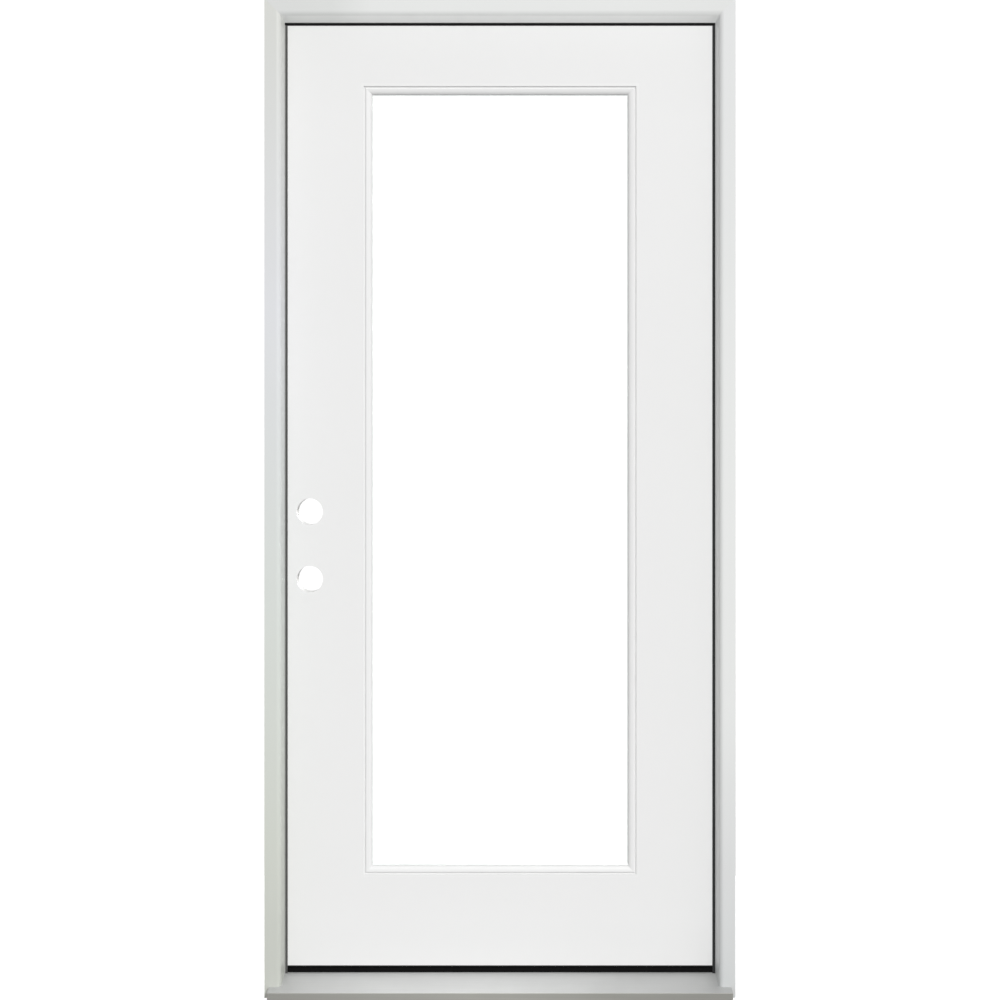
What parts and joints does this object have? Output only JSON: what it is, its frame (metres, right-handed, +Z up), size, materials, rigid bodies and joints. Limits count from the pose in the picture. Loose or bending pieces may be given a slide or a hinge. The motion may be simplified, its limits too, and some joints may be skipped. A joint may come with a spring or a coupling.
{
  "type": "full lite front door",
  "caption": "Prehung inswing entry door: smooth white leaf with one tall clear pane, bored for a lockset and deadbolt, in a rabbeted jamb over a sloping metal sill.",
  "frame": {"origin": "centre of the sill's underside, at the middle of the jamb's depth", "axes": "+Z up, +X to the right and +Y into the house as seen by someone outside. The leaf hangs at +X and opens towards +Y."},
  "size_m": [0.9562, 0.1563, 2.0273],
  "materials": {
    "frame_paint": "white satin primer paint on a moulded jamb",
    "door_paint": "smooth white factory paint, satin",
    "door_edge": "primed wood edge, satin",
    "block_polymer": "moulded white polymer, matt",
    "foam": "rigid closed-cell foam",
    "lite_moulding": "moulded white polymer, satin",
    "clear_glass": "clear low-iron glass",
    "spacer_metal": "folded spacer, satin",
    "seal_rubber": "dark foam and rubber, matt",
    "cap_polymer": "dark polymer, matt",
    "mill_aluminium": "mill finish, brushed along its length",
    "sill_composite": "brown wood-fibre composite, matt",
    "hinge_metal": "satin nickel plating"
  },
  "bodies": {
    "frame": {"sill_base": "sill_composite", "sill_deck": "mill_aluminium", "threshold_cap": "cap_polymer", "hinge_jamb": "frame_paint", "strike_jamb": "frame_paint", "head_jamb": "frame_paint", "hinge_side_weatherstrip": "seal_rubber", "strike_side_weatherstrip": "seal_rubber", "head_weatherstrip": "seal_rubber", "corner_pads": "seal_rubber", "upper_hinge_frame_leaf": "hinge_metal", "upper_hinge_pin": "hinge_metal", "middle_hinge_frame_leaf": "hinge_metal", "middle_hinge_pin": "hinge_metal", "lower_hinge_frame_leaf": "hinge_metal", "lower_hinge_pin": "hinge_metal"},
    "leaf": {"exterior_skin": "door_paint", "interior_skin": "door_paint", "lock_stile": "door_edge", "hinge_stile": "door_edge", "top_rail": "door_edge", "bottom_rail": "door_edge", "lock_block": "block_polymer", "foam_core_top": "foam", "foam_core_bottom": "foam", "foam_core_lock_side": "foam", "foam_core_hinge_side": "foam", "exterior_lite_frame": "lite_moulding", "interior_lite_frame": "lite_moulding", "exterior_pane": "clear_glass", "interior_pane": "clear_glass", "glass_spacer": "spacer_metal", "exterior_glazing_tape": "seal_rubber", "interior_glazing_tape": "seal_rubber", "door_sweep": "seal_rubber", "upper_hinge_door_leaf": "hinge_metal", "middle_hinge_door_leaf": "hinge_metal", "lower_hinge_door_leaf": "hinge_metal"}
  },
  "joints": [
    {"name": "door_swing", "type": "hinge", "parent": "frame", "child": "leaf", "pos_m": [0.45653, 0.06495, 1], "axis": [0, 0, -1], "range_deg": [0, 170]}
  ]
}
